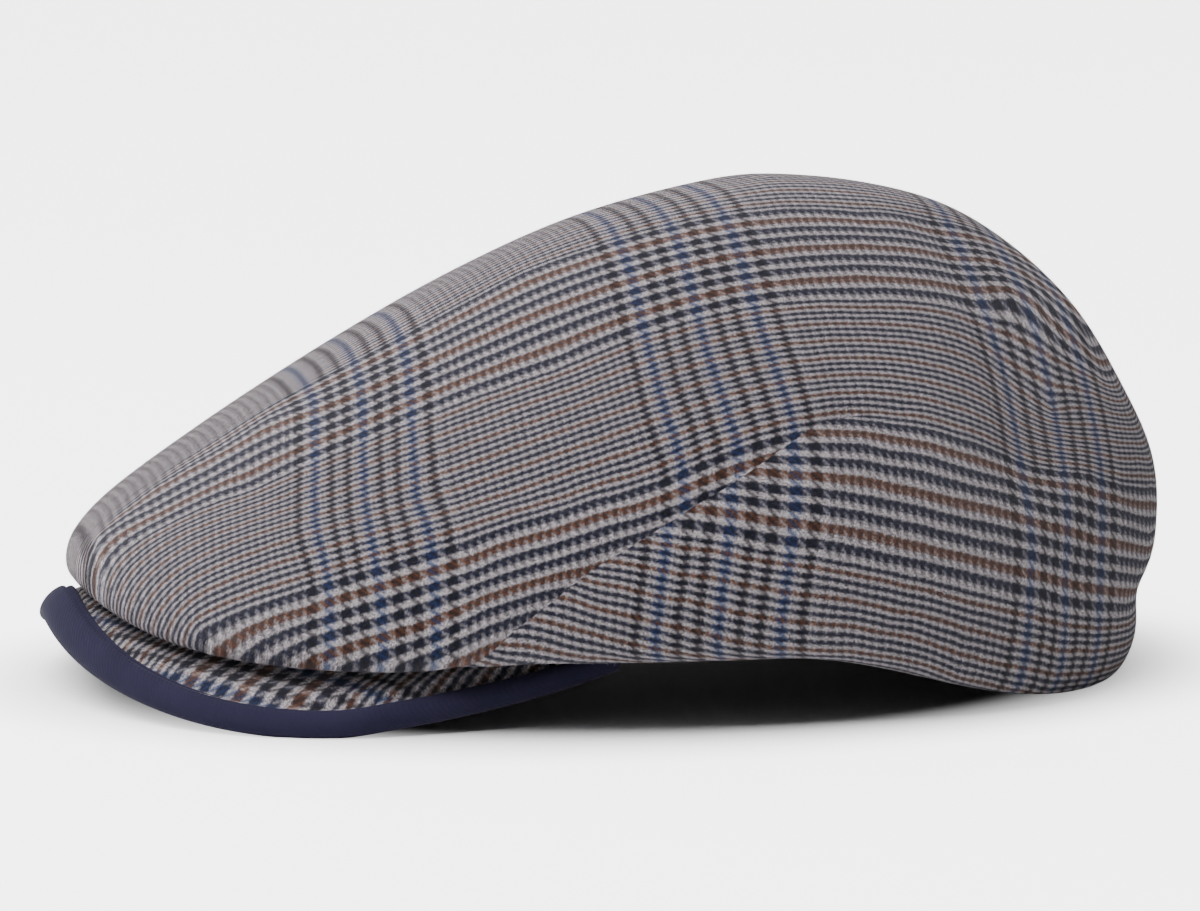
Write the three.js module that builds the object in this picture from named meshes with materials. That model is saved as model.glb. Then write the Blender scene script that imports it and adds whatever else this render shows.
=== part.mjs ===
// Flat cap, in millimetres: +Z up, the peak towards -Y, lying on z = 0 as it is put down.
// The crown is one piece of checked wool cloth, shaped by a dart on each side. It comes forward
// over the peak, rolls under at the nose and is stitched down to the top of the peak.
// The peak has a cloth top, a plain cloth underside and a padded binding round its edge.
import * as THREE from "three";

// Overall sizes
const CAP_LENGTH = 279;
const CAP_WIDTH = 204;
const CAP_HEIGHT = 121.5;

// Cloth
const CLOTH = 2;
const HEM_TURN = 1;
const CLEARANCE = 0.3;

// Peak
const PEAK_WIDTH = 173;
const PEAK_DEPTH = 67;
const PEAK_TIP_LIFT = 16;
const PEAK_END_LIFT = 14;
const PEAK_SIDE = 60;
const PEAK_END_INSET = 9;
const PEAK_END_WIDTH = 14;
const PEAK_BACK_LIFT = 22;
const PEAK_COVER = 1.8;
const PEAK_UNDERSIDE = 1.5;
const PEAK_CROWNING = 1;
const BINDING_WIDTH = 7.4;
const BINDING_THICKNESS = 6;

// Crown: how far its front corners hang over the peak, and the seam and crease on each side
const FRONT_DIP = 3.2;
const DART_DEPTH = 1.2;
const DART_SPREAD = 4;
const CREASE_DEPTH = 2.2;
const CREASE_SPREAD = 10;

// How far soft cloth is pressed flat where it rests
const FLATTENING = 0.4;

// Mesh steps
const CROWN_TURNS = 84;
const CROWN_RISES = 23;
const PEAK_STEPS = 40;
const PEAK_ROWS = 5;
const BINDING_SIDES = 12;

const halfLength = CAP_LENGTH / 2;
const halfWidth = CAP_WIDTH / 2;

// Rings of the crown from the hem to the apex. The three y columns are shares of half the
// length, half is a share of half the width and the z columns are shares of the height.
// A ring is a superellipse round (0, middleY), squarer for a higher exponent; its height goes
// from zSide to zFront with the cosine to the power rise, and to zBack with the power fall.
const RING_COLUMNS = [
  "frontY", "middleY", "backY", "half", "zFront", "zSide", "zBack",
  "squareFront", "squareBack", "rise", "fall",
];
const RINGS = [
  [-0.803, 0.172, 0.882, 0.882, 0.198, 0.142, 0.0, 2.1, 2.2, 26, 3.6],
  [-0.896, 0.158, 0.932, 0.951, 0.202, 0.142, 0.01, 2.3, 2.2, 26, 3.2],
  [-0.946, 0.143, 0.968, 0.99, 0.218, 0.19, 0.105, 2.2, 2.2, 22, 2.5],
  [-0.939, 0.143, 1.0, 1.0, 0.292, 0.315, 0.28, 2.1, 2.1, 10, 1],
  [-0.853, 0.158, 0.993, 0.961, 0.386, 0.461, 0.43, 2.1, 2.1, 2, 1],
  [-0.688, 0.186, 0.935, 0.873, 0.514, 0.609, 0.58, 2.1, 2.1, 2, 1],
  [-0.487, 0.222, 0.855, 0.735, 0.662, 0.745, 0.73, 2.0, 2.1, 2, 1],
  [-0.28, 0.258, 0.75, 0.569, 0.794, 0.856, 0.85, 2.0, 2.0, 2, 1],
  [-0.072, 0.287, 0.624, 0.392, 0.901, 0.938, 0.938, 2.0, 2.0, 2, 1],
  [0.136, 0.308, 0.473, 0.196, 0.967, 0.988, 0.984, 2.0, 2.0, 2, 1],
  [0.308, 0.308, 0.308, 0.0, 1.0, 1.0, 1.0, 2.0, 2.0, 2, 1],
];

// Seams and soft creases pressed into the crown, the same on both sides. The path runs through
// places given as a share of the half turn from front to back and a share of the rings.
const FOLDS = [
  {
    name: "dart", depth: DART_DEPTH, spread: DART_SPREAD,
    path: [[0.27, 0.07], [0.32, 0.22], [0.37, 0.31], [0.44, 0.395], [0.53, 0.49], [0.6, 0.502]],
  },
  {
    name: "back crease", depth: CREASE_DEPTH, spread: CREASE_SPREAD,
    path: [[0.78, 0.76], [0.735, 0.63], [0.725, 0.53], [0.714, 0.42]],
  },
];

// Where the front of the crown meets the peak: the place of the seam as a share of the peak's
// depth, and the shares of the rings that move in and that rise and fall to reach it
const SEAT_PLACE = 0.35;
const SEAT_TUCK = 0.1;
const SEAT_LIFT = 0.3;

// The front corners, which hang lowest at DIP_TURN, between the hem and DIP_REACH of the rings
const DIP_TURN = Math.PI / 6;
const DIP_REACH = 0.4;

const { smoothstep, lerp } = THREE.MathUtils;
const UP = new THREE.Vector3(0, 0, 1);

// Height of the peak's cover above its middle surface, which clears the underside on a slope too
const above = 0.8 * CLEARANCE;

// A closed mesh from a run of rings of points, each joined to the next, with a fan of faces from
// the ring at each end of the run to a pole
function ringMesh(rings, poles) {
  const positions = [];
  const indices = [];
  const starts = rings.map((ring) => {
    const start = positions.length / 3;
    ring.forEach((p) => positions.push(p.x, p.y, p.z));
    return start;
  });
  const count = rings[0].length;
  for (let k = 0; k < rings.length - 1; k += 1) {
    const low = starts[k];
    const high = starts[k + 1];
    for (let j = 0; j < count; j += 1) {
      const next = (j + 1) % count;
      indices.push(low + j, low + next, high + next, low + j, high + next, high + j);
    }
  }
  poles.forEach((pole, end) => {
    const tip = positions.length / 3;
    const start = end === 0 ? starts[0] : starts.at(-1);
    positions.push(pole.x, pole.y, pole.z);
    for (let j = 0; j < count; j += 1) {
      const a = start + j;
      const b = start + ((j + 1) % count);
      if (end === 0) indices.push(b, a, tip);
      else indices.push(a, b, tip);
    }
  });
  const geometry = new THREE.BufferGeometry();
  geometry.setAttribute("position", new THREE.Float32BufferAttribute(positions, 3));
  geometry.setIndex(indices);
  geometry.computeVertexNormals();
  return geometry;
}

// Peak

// Half the height and reach of the binding's oval when it is tilted
function ovalReach(tilt, along) {
  const wide = (BINDING_WIDTH / 2) * (along ? Math.cos(tilt) : Math.sin(tilt));
  const thick = (BINDING_THICKNESS / 2) * (along ? Math.sin(tilt) : Math.cos(tilt));
  return Math.hypot(wide, thick);
}

const EDGE_TILT = THREE.MathUtils.degToRad(45);
const END_TILT = THREE.MathUtils.degToRad(15);
const ARC_SHARE = 0.7;
const DROP_SHARE = 0.6;
const LIFT_SHARE = 0.62;
const TIP_ROUNDING = 0.06;
const edgeOverhang = ovalReach(EDGE_TILT, true) - (BINDING_WIDTH / 2) * Math.cos(EDGE_TILT);
const edgeLow = ovalReach(EDGE_TILT, false) - (BINDING_WIDTH / 2) * Math.sin(EDGE_TILT) - FLATTENING;
const peakTip = -halfLength + edgeOverhang;
const peakWide = peakTip + PEAK_DEPTH;
const peakEnd = peakWide + PEAK_SIDE;

// The hem's middle, and its half width where the peak's ends lie inside it
const hem = Object.fromEntries(RING_COLUMNS.map((name, i) => [name, RINGS[0][i]]));
const hemMiddle = hem.middleY * halfLength;
const hemShare = (hemMiddle - peakEnd) / (hemMiddle - hem.frontY * halfLength);
const hemHalf = hem.half * halfWidth * (1 - hemShare ** hem.squareFront) ** (1 / hem.squareFront);
const peakEndHalf = hemHalf - PEAK_END_INSET;
const seatTurn = Math.atan2(peakEndHalf, hemMiddle - peakEnd);

// A straight rise from 0 with its start rounded off
const rounded = (x) => Math.hypot(x, TIP_ROUNDING) - TIP_ROUNDING;

// Outer edge of the peak: half an oval up to ARC_SHARE, then nearly straight back to the ends.
// It drops from the tip to the sides, where it rests, and rises again to the ends.
function peakEdge(u) {
  const share = Math.abs(u);
  const angle = (Math.min(share / ARC_SHARE, 1) * Math.PI) / 2;
  const past = Math.max((share - ARC_SHARE) / (1 - ARC_SHARE), 0);
  const half = lerp(PEAK_WIDTH / 2, peakEndHalf, past * past);
  const fall = rounded(share / DROP_SHARE) / rounded(1);
  const drop = Math.sin((Math.min(fall, 1) * Math.PI) / 2);
  const lift = Math.max((share - LIFT_SHARE) / (1 - LIFT_SHARE), 0) ** 1.5;
  const z = lerp(PEAK_TIP_LIFT, edgeLow, drop) + (PEAK_END_LIFT - edgeLow) * lift;
  const y = peakWide - PEAK_DEPTH * Math.cos(angle) + PEAK_SIDE * past;
  return new THREE.Vector3(Math.sign(u) * half * Math.sin(angle), y, z);
}

// Rear edge of the peak, an arc round the front of the head opening
function peakRear(u) {
  const reach = hemMiddle - (peakTip + PEAK_DEPTH);
  const endAngle = Math.acos((hemMiddle - peakEnd) / reach);
  const half = (peakEndHalf - PEAK_END_WIDTH) / Math.sin(endAngle);
  const endLift = PEAK_END_LIFT + PEAK_END_WIDTH * Math.sin(END_TILT);
  const z = lerp(endLift, PEAK_BACK_LIFT, Math.cos((u * Math.PI) / 2) ** 2);
  const angle = u * endAngle;
  return new THREE.Vector3(half * Math.sin(angle), hemMiddle - reach * Math.cos(angle), z);
}

function inwardAt(u) {
  return peakRear(u).sub(peakEdge(u)).setZ(0).normalize();
}

// The direction from the outer edge to the cloth across the binding, tilted up and inwards, and
// the direction out of its face
function bindingAxes(u) {
  const tilt = lerp(EDGE_TILT, END_TILT, smoothstep(Math.abs(u), ARC_SHARE, 1));
  const inward = inwardAt(u);
  const across = inward.clone().multiplyScalar(Math.cos(tilt)).addScaledVector(UP, Math.sin(tilt));
  const out = inward.multiplyScalar(-Math.sin(tilt)).addScaledVector(UP, Math.cos(tilt));
  return { across, out };
}

// A place between the binding's inner side and the rear edge, on the peak's middle surface
function peakPlace(u, v) {
  const start = peakEdge(u).addScaledVector(bindingAxes(u).across, BINDING_WIDTH);
  return start.lerp(peakRear(u), v).addScaledVector(UP, PEAK_CROWNING * 4 * v * (1 - v));
}

// A sheet that follows the peak between two heights above its middle surface
function peakSheet(low, high, setback) {
  const sections = [];
  for (let k = 0; k <= PEAK_STEPS; k += 1) {
    const u = lerp(-1, 1, k / PEAK_STEPS);
    const depth = peakPlace(u, 0).distanceTo(peakPlace(u, 1));
    const row = (height) => (_, j) => {
      const v = lerp(setback / depth, 1, j / PEAK_ROWS);
      return peakPlace(u, v).addScaledVector(UP, height);
    };
    const top = Array.from({ length: PEAK_ROWS + 1 }, row(high));
    const bottom = Array.from({ length: PEAK_ROWS + 1 }, row(low));
    sections.push([...bottom, ...top.reverse()]);
  }
  return closedRun(sections);
}

// A run of sections closed by a fan at each end
function closedRun(sections) {
  const centre = (section) =>
    section.reduce((sum, p) => sum.add(p), new THREE.Vector3()).divideScalar(section.length);
  return ringMesh(sections, [centre(sections[0]), centre(sections.at(-1))]);
}

function peakBinding() {
  const sections = [];
  for (let k = 0; k <= PEAK_STEPS; k += 1) {
    const u = lerp(-1, 1, k / PEAK_STEPS);
    const { across, out } = bindingAxes(u);
    const centre = peakEdge(u).addScaledVector(across, BINDING_WIDTH / 2);
    sections.push(
      Array.from({ length: BINDING_SIDES }, (_, j) => {
        const angle = (2 * Math.PI * j) / BINDING_SIDES;
        const p = centre.clone();
        p.addScaledVector(across, (BINDING_WIDTH / 2) * Math.cos(angle));
        p.addScaledVector(out, (BINDING_THICKNESS / 2) * Math.sin(angle));
        return p.setZ(Math.max(p.z, 0));
      }),
    );
  }
  return closedRun(sections);
}

// Crown

// The ring table read at a share of the rings, smoothly through its rows
function ringAt(s) {
  const last = RINGS.length - 1;
  const k = Math.min(Math.floor(s * last), last - 1);
  const f = s * last - k;
  const b = RINGS[k];
  const c = RINGS[k + 1];
  const a = RINGS[k - 1] ?? b.map((value, i) => 2 * value - c[i]);
  const d = RINGS[k + 2] ?? c.map((value, i) => 2 * value - b[i]);
  const ring = {};
  RING_COLUMNS.forEach((name, i) => {
    const slope = c[i] - a[i];
    const bend = 2 * a[i] - 5 * b[i] + 4 * c[i] - d[i];
    const twist = 3 * (b[i] - c[i]) + d[i] - a[i];
    ring[name] = b[i] + 0.5 * f * (slope + f * (bend + f * twist));
  });
  return ring;
}

// How much of the hem at this turn lies on the peak
function seated(turn) {
  return 1 - smoothstep(Math.abs(turn) / seatTurn, 0.75, 0.97);
}

// How far the crown hangs lower at its front corners
function frontDip(turn, s) {
  const round = Math.sin((Math.min(Math.abs(turn) / DIP_TURN, 2) * Math.PI) / 2) ** 2;
  return FRONT_DIP * round * Math.sin(Math.PI * Math.min(s / DIP_REACH, 1)) ** 2;
}

function crownForm(turn, s) {
  const ring = ringAt(s);
  const cos = Math.cos(turn);
  const sin = Math.sin(turn);
  const front = cos > 0;
  const middle = ring.middleY * halfLength;
  const reach = Math.max(Math.abs((front ? ring.frontY : ring.backY) * halfLength - middle), 1e-3);
  const half = Math.max(ring.half * halfWidth, 1e-3);
  const square = front ? ring.squareFront : ring.squareBack;
  const radius = (Math.abs(cos / reach) ** square + Math.abs(sin / half) ** square) ** (-1 / square);
  const share = front
    ? lerp(ring.zSide, ring.zFront, Math.abs(cos) ** ring.rise)
    : lerp(ring.zSide, ring.zBack, 1 - (sin * sin) ** ring.fall);
  const height = share * CAP_HEIGHT - frontDip(turn, s);
  return new THREE.Vector3(radius * sin, middle - radius * cos, height);
}

// The crown's outer surface without its folds, with the front hem brought onto the peak
function crownSeated(turn, s) {
  const p = crownForm(turn, s);
  if (seated(turn) === 0) return p;
  const move = peakPlace(turn / seatTurn, SEAT_PLACE).sub(crownForm(turn, 0));
  move.z += above + PEAK_COVER + CLEARANCE;
  const tuck = seated(turn) * Math.max(1 - s / SEAT_TUCK, 0) ** 2;
  const lift = seated(turn) * Math.max(1 - s / SEAT_LIFT, 0) ** 2;
  return p.add(move.multiply(new THREE.Vector3(tuck, tuck, lift)));
}

function crownNormal(surface, turn, s) {
  const step = 1e-3;
  const low = Math.max(s - step, 0);
  const high = Math.min(s + step, 1 - step);
  const around = surface(turn + step, s).sub(surface(turn - step, s));
  const along = surface(turn, high).sub(surface(turn, low));
  return around.cross(along).normalize();
}

const foldLines = FOLDS.map(({ depth, spread, path }) => ({
  depth,
  spread,
  points: path.map(([turn, s]) => crownSeated(turn * Math.PI, s)),
}));

// Depth of the folds at a place: a soft valley round each path
function foldDepth(place) {
  const segment = new THREE.Line3();
  const nearest = new THREE.Vector3();
  return foldLines.reduce((sum, { depth, spread, points }) => {
    const distances = points.slice(1).map((point, k) => {
      segment.set(points[k], point).closestPointToPoint(place, true, nearest);
      return nearest.distanceTo(place);
    });
    return sum + depth * Math.exp(-((Math.min(...distances) / spread) ** 2));
  }, 0);
}

function crownOuter(turn, s) {
  const p = crownSeated(turn, s);
  const place = new THREE.Vector3(Math.abs(p.x), p.y, p.z);
  const free = smoothstep(s, 0, SEAT_TUCK);
  p.addScaledVector(crownNormal(crownSeated, turn, s), -foldDepth(place) * free);
  if (s === 0) p.z -= FLATTENING * (1 - seated(turn));
  return p.setZ(Math.max(p.z, 0));
}

// The inside of the cloth: straight up at the seam on the peak, level at the free hem
function crownInner(turn, s, outer) {
  const onPeak = seated(turn);
  const inward = crownNormal(crownOuter, turn, s).negate();
  const level = new THREE.Vector3(-outer.x, hemMiddle - outer.y, 0).normalize();
  const edge = level.multiplyScalar(1 - onPeak).addScaledVector(UP, onPeak).normalize();
  const direction = edge.lerp(inward, smoothstep(s, 0, 0.06)).normalize();
  const wall = CLOTH + HEM_TURN * (1 - onPeak) * (1 - smoothstep(s, 0.06, 0.12));
  return outer.clone().addScaledVector(direction, wall);
}

function crown() {
  const outside = [];
  const inside = [];
  for (let k = 0; k < CROWN_RISES; k += 1) {
    const s = (k / CROWN_RISES) ** 1.12;
    const turns = Array.from({ length: CROWN_TURNS }, (_, j) => (j / CROWN_TURNS) * 2 * Math.PI);
    const wrapped = turns.map((turn) => (turn > Math.PI ? turn - 2 * Math.PI : turn));
    const ring = wrapped.map((turn) => crownOuter(turn, s));
    outside.push(ring);
    inside.unshift(wrapped.map((turn, j) => crownInner(turn, s, ring[j])));
  }
  const apex = crownForm(0, 1);
  const inner = apex.clone().addScaledVector(UP, -CLOTH);
  return ringMesh([...inside, ...outside], [inner, apex]);
}

function piece(name, geometry, color, roughness) {
  const material = new THREE.MeshStandardMaterial({ color, roughness, metalness: 0 });
  const mesh = new THREE.Mesh(geometry, material);
  mesh.name = name;
  return mesh;
}

const cap = new THREE.Group();
cap.add(
  piece("crown", crown(), 0x7d7880, 0.95),
  piece("peak_cover", peakSheet(above, above + PEAK_COVER, CLEARANCE), 0x77727a, 0.95),
  piece(
    "peak_underside",
    peakSheet(-above - PEAK_UNDERSIDE, -above, CLEARANCE + BINDING_THICKNESS / 2),
    0x262c47,
    0.9,
  ),
  piece("peak_binding", peakBinding(), 0x2a3050, 0.85),
);

export default cap;
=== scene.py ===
import math

import bpy
import numpy as np
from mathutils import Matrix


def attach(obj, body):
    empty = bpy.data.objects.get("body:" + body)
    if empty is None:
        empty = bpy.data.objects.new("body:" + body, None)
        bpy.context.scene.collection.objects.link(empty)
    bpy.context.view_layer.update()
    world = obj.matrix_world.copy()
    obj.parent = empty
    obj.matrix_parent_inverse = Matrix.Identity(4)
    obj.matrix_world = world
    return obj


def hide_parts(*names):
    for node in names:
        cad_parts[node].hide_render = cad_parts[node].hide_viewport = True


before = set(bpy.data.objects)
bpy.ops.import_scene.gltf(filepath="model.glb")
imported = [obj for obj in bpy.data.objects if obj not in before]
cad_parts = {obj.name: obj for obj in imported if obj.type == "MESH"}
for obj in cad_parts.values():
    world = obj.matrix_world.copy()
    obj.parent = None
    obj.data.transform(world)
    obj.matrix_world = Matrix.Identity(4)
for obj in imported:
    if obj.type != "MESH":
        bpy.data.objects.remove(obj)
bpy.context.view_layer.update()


# View, floor and light
# The cap lies on a pale paper sweep that curves up behind it. A long lens looks at its right-hand
# side from a little above. A wide soft lamp hangs over the front, and a weaker one fills in there.
# The view's and the glow's lengths are in metres, and the sweep's in millimetres, as every mesh's.
VIEW_TURN = math.radians(78)
VIEW_RISE = math.radians(10)
VIEW_DISTANCE = 1.4
VIEW_AIM = (0.0, 0.0, 0.0525)
LENS, SENSOR = 168, 36
SWEEP_FRONT, SWEEP_BACK, SWEEP_BEND, SWEEP_TOP, SWEEP_HALF = 3500, -1600, 900, 3200, 4000
GLOW_HALF_WIDTH, GLOW_HALF_LENGTH = 0.13, 0.17
GLOW_START, GLOW_FULL, GLOW_STRENGTH = 0.68, 1.05, 3.5
ROOM_LIGHT = 0.15


def linear(colour):
    """An sRGB hex colour turned to the linear values that a shader's socket takes."""
    parts = [int(colour[k:k + 2], 16) / 255 for k in (1, 3, 5)]
    return [c / 12.92 if c <= 0.04045 else ((c + 0.055) / 1.055) ** 2.4 for c in parts] + [1.0]


def add_node(tree, kind, settings=None, **links):
    """Adds a node, with its settings by name and a value or a link for each input socket."""
    node = tree.nodes.new("ShaderNode" + kind)
    for name, value in (settings or {}).items():
        setattr(node, name, value)
    for name, value in links.items():
        name = name.replace("_", " ")
        socket = node.inputs[int(name[1:])] if name[1:].isdigit() else node.inputs[name]
        if isinstance(value, bpy.types.NodeSocket):
            tree.links.new(value, socket)
        else:
            socket.default_value = value
    return node


def new_material(name):
    """An empty node material and its tree, with the output node in place."""
    material = bpy.data.materials.new(name)
    material.use_nodes = True
    material.node_tree.nodes.clear()
    add_node(material.node_tree, "OutputMaterial")
    return material, material.node_tree


def surface_from(tree, shader):
    """Joins a shader to the material's output."""
    output = tree.nodes["Material Output"]
    tree.links.new(shader.outputs[0], output.inputs["Surface"])


def grid_faces(rows, columns, wrap=False):
    """Quads between neighbouring points of a grid numbered row by row, closed round if wrap.

    A quad joins point j of row k, the next in its row, and the same two in the next row."""
    across = columns if wrap else columns - 1
    k, j = np.meshgrid(np.arange(rows - 1), np.arange(across), indexing="ij")
    here, beside = k * columns + j, k * columns + (j + 1) % columns
    return np.stack([here, beside, beside + columns, here + columns], -1).reshape(-1, 4)


def make_mesh(name, points, faces, material, uv=None):
    """An object from points in millimetres and faces, smooth, with one UV pair for each corner."""
    mesh = bpy.data.meshes.new(name)
    mesh.from_pydata((points / 1000).tolist(), [], faces)
    mesh.shade_smooth()
    if uv is not None:
        layer = mesh.uv_layers.new(name="threads")
        layer.data.foreach_set("uv", np.asarray(uv, dtype=np.float32).ravel())
    mesh.materials.append(material)
    mesh.update()
    piece = bpy.data.objects.new(name, mesh)
    bpy.context.collection.objects.link(piece)
    return piece


view_from = VIEW_DISTANCE * np.array([
    math.sin(VIEW_TURN) * math.cos(VIEW_RISE),
    -math.cos(VIEW_TURN) * math.cos(VIEW_RISE),
    math.sin(VIEW_RISE),
])
camera_data = bpy.data.cameras.new("camera")
camera_data.lens = LENS
camera_data.sensor_width = SENSOR
camera_data.clip_end = 50
camera = bpy.data.objects.new("camera", camera_data)
camera.location = view_from
look = np.array(VIEW_AIM) - view_from
camera.rotation_euler = (
    math.atan2(math.hypot(look[0], look[1]), -look[2]), 0, math.atan2(-look[0], look[1]),
)
bpy.context.collection.objects.link(camera)
bpy.context.scene.camera = camera

# Matt background paper. From an oval round the cap outwards it glows, so that it stays evenly pale.
# Inside the oval it has no glow, and the glow rises slowly over the oval's edge: a painted soft shadow
# round the cap, added to the lamps' own shadow. The glow falls on nothing but the paper.
paper, paper_tree = new_material("matt background paper")
paper_where = add_node(paper_tree, "TexCoord").outputs["Object"]
paper_oval = add_node(
    paper_tree, "Mapping", Vector=paper_where, Scale=(1 / GLOW_HALF_WIDTH, 1 / GLOW_HALF_LENGTH, 0),
)
paper_far = add_node(
    paper_tree, "VectorMath", {"operation": "LENGTH"}, Vector=paper_oval.outputs[0],
)
# Painted shadow: no glow near the cap, growing smoothly to full strength out past the oval's edge
paper_glow = add_node(
    paper_tree, "MapRange", {"interpolation_type": "SMOOTHSTEP"}, Value=paper_far.outputs["Value"],
    From_Min=GLOW_START, From_Max=GLOW_FULL, To_Min=0.0, To_Max=GLOW_STRENGTH,
)
surface_from(paper_tree, add_node(
    paper_tree, "BsdfPrincipled", Base_Color=linear("#bebebe"), Roughness=0.9, Specular_IOR_Level=0.2,
    Emission_Color=linear("#ffffff"), Emission_Strength=paper_glow.outputs[0],
))
sweep_bend = np.linspace(0, math.pi / 2, 17)
sweep_run = np.concatenate([
    [SWEEP_FRONT], SWEEP_BACK - SWEEP_BEND * np.sin(sweep_bend), [SWEEP_BACK - SWEEP_BEND],
])
sweep_rise = np.concatenate([[0], SWEEP_BEND - SWEEP_BEND * np.cos(sweep_bend), [SWEEP_TOP]])
side = np.array([-SWEEP_HALF, SWEEP_HALF])
sweep = np.stack(np.broadcast_arrays(sweep_run[:, None], side[None, :], sweep_rise[:, None]), -1)
floor = make_mesh("floor", sweep.reshape(-1, 3), grid_faces(len(sweep_run), 2).tolist(), paper)
paper_only = bpy.data.collections.new("lit by the paper's glow")
paper_only.objects.link(floor)
floor.light_linking.receiver_collection = paper_only

for name, place, turn, size, power in (
    ("overhead", (0.25, -0.6, 1.4), (math.radians(23), math.radians(9), 0), 1.3, 37),
    ("front_fill", (0.6, -2.1, 1.1), (math.radians(63), 0, math.radians(16)), 1.6, 10),
):
    lamp = bpy.data.lights.new(name, "AREA")
    lamp.size = size
    lamp.energy = power
    holder = bpy.data.objects.new(name, lamp)
    holder.location = place
    holder.rotation_euler = turn
    bpy.context.collection.objects.link(holder)

world = bpy.data.worlds.new("studio")
world.use_nodes = True
world.node_tree.nodes["Background"].inputs["Color"].default_value = linear("#f4f5f7")
world.node_tree.nodes["Background"].inputs["Strength"].default_value = ROOM_LIGHT
bpy.context.scene.world = world


# Peak binding
# A bias strip of navy cotton, padded and rolled round the edge of the peak. It is sewn through
# close to the checked cloth, so a fine stitched groove follows its inner side.
CAP_LENGTH, CAP_WIDTH, CAP_HEIGHT = 279, 204, 121.5
PEAK_WIDTH, PEAK_DEPTH, PEAK_SIDE = 173, 67, 60
PEAK_TIP_LIFT, PEAK_END_LIFT, PEAK_BACK_LIFT = 16, 14, 22
PEAK_END_INSET, PEAK_END_WIDTH, PEAK_CROWNING = 9, 14, 1
BINDING_WIDTH, BINDING_THICKNESS = 7.4, 6
EDGE_TILT, END_TILT = math.radians(45), math.radians(15)
ARC_SHARE, DROP_SHARE, LIFT_SHARE, TIP_ROUNDING = 0.7, 0.6, 0.62, 0.06
FLATTENING = 0.4
FRONT_EXTRA, FRONT_SPREAD = 3.4, 0.28
GROOVE_PLACE, GROOVE_DEPTH, GROOVE_WIDTH = 0.5, 0.8, 0.17
BINDING_STEPS, BINDING_SIDES = 361, 36
RIB_SPACING, CLOUD_SIZE = 0.8637, 11.11
HEM_FRONT, HEM_MIDDLE, HEM_HALF, HEM_SQUARE = -0.803, 0.172, 0.882, 2.1
UP = np.array([0.0, 0.0, 1.0])


def blend(a, b, share):
    """A value between a and b."""
    return a + (b - a) * share


def smooth(x, low, high):
    """A smooth step: 0 up to low, 1 from high on, with a cubic between them."""
    t = np.clip((x - low) / (high - low), 0, 1)
    return t * t * (3 - 2 * t)


def unit(vector):
    """The vector brought to length 1."""
    return vector / np.linalg.norm(vector, axis=-1, keepdims=True)


edge_cos, edge_sin = math.cos(EDGE_TILT), math.sin(EDGE_TILT)
edge_reach = math.hypot(BINDING_WIDTH * edge_cos, BINDING_THICKNESS * edge_sin) / 2
edge_rise = math.hypot(BINDING_WIDTH * edge_sin, BINDING_THICKNESS * edge_cos) / 2
edge_low = edge_rise - BINDING_WIDTH / 2 * edge_sin - FLATTENING
peak_tip = -CAP_LENGTH / 2 + edge_reach - BINDING_WIDTH / 2 * edge_cos
peak_wide = peak_tip + PEAK_DEPTH
peak_end = peak_wide + PEAK_SIDE
hem_middle = HEM_MIDDLE * CAP_LENGTH / 2
hem_share = (hem_middle - peak_end) / (hem_middle - HEM_FRONT * CAP_LENGTH / 2)
hem_half = HEM_HALF * CAP_WIDTH / 2 * (1 - hem_share ** HEM_SQUARE) ** (1 / HEM_SQUARE)
peak_end_half = hem_half - PEAK_END_INSET
seat_turn = math.atan2(peak_end_half, hem_middle - peak_end)


def peak_edge(u):
    """Outer edge of the peak for u from -1 to 1: half an oval, then nearly straight to the ends.

    It drops from the tip to the sides, where it rests, and rises again to the ends."""
    share = np.abs(u)
    angle = np.minimum(share / ARC_SHARE, 1) * math.pi / 2
    past = np.clip((share - ARC_SHARE) / (1 - ARC_SHARE), 0, 1)
    half = blend(PEAK_WIDTH / 2, peak_end_half, past ** 2)
    fall = np.hypot(share / DROP_SHARE, TIP_ROUNDING) - TIP_ROUNDING
    fall = fall / (math.hypot(1, TIP_ROUNDING) - TIP_ROUNDING)
    drop = np.sin(np.minimum(fall, 1) * math.pi / 2)
    lift = np.clip((share - LIFT_SHARE) / (1 - LIFT_SHARE), 0, 1) ** 1.5
    z = blend(PEAK_TIP_LIFT, edge_low, drop) + (PEAK_END_LIFT - edge_low) * lift
    y = peak_wide - PEAK_DEPTH * np.cos(angle) + PEAK_SIDE * past
    return np.stack([np.sign(u) * half * np.sin(angle), y, z], -1)


def peak_rear(u):
    """Rear edge of the peak: an arc round the front of the head opening."""
    reach = hem_middle - peak_wide
    end_angle = math.acos((hem_middle - peak_end) / reach)
    half = (peak_end_half - PEAK_END_WIDTH) / math.sin(end_angle)
    end_lift = PEAK_END_LIFT + PEAK_END_WIDTH * math.sin(END_TILT)
    z = blend(end_lift, PEAK_BACK_LIFT, np.cos(u * math.pi / 2) ** 2)
    turn = u * end_angle
    return np.stack([half * np.sin(turn), hem_middle - reach * np.cos(turn), z], -1)


def binding_axes(u):
    """Directions across the binding, up and inwards to the cloth, and out of its face."""
    tilt = blend(EDGE_TILT, END_TILT, smooth(np.abs(u), ARC_SHARE, 1))[..., None]
    inward = unit((peak_rear(u) - peak_edge(u)) * [1, 1, 0])
    return inward * np.cos(tilt) + UP * np.sin(tilt), UP * np.cos(tilt) - inward * np.sin(tilt)


def peak_place(u, v):
    """A place on the peak's middle surface between the binding, v 0, and the rear edge, v 1."""
    start = peak_edge(u) + binding_axes(u)[0] * BINDING_WIDTH
    v = np.asarray(v)[..., None]
    return blend(start, peak_rear(u), v) + UP * PEAK_CROWNING * 4 * v * (1 - v)


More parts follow.
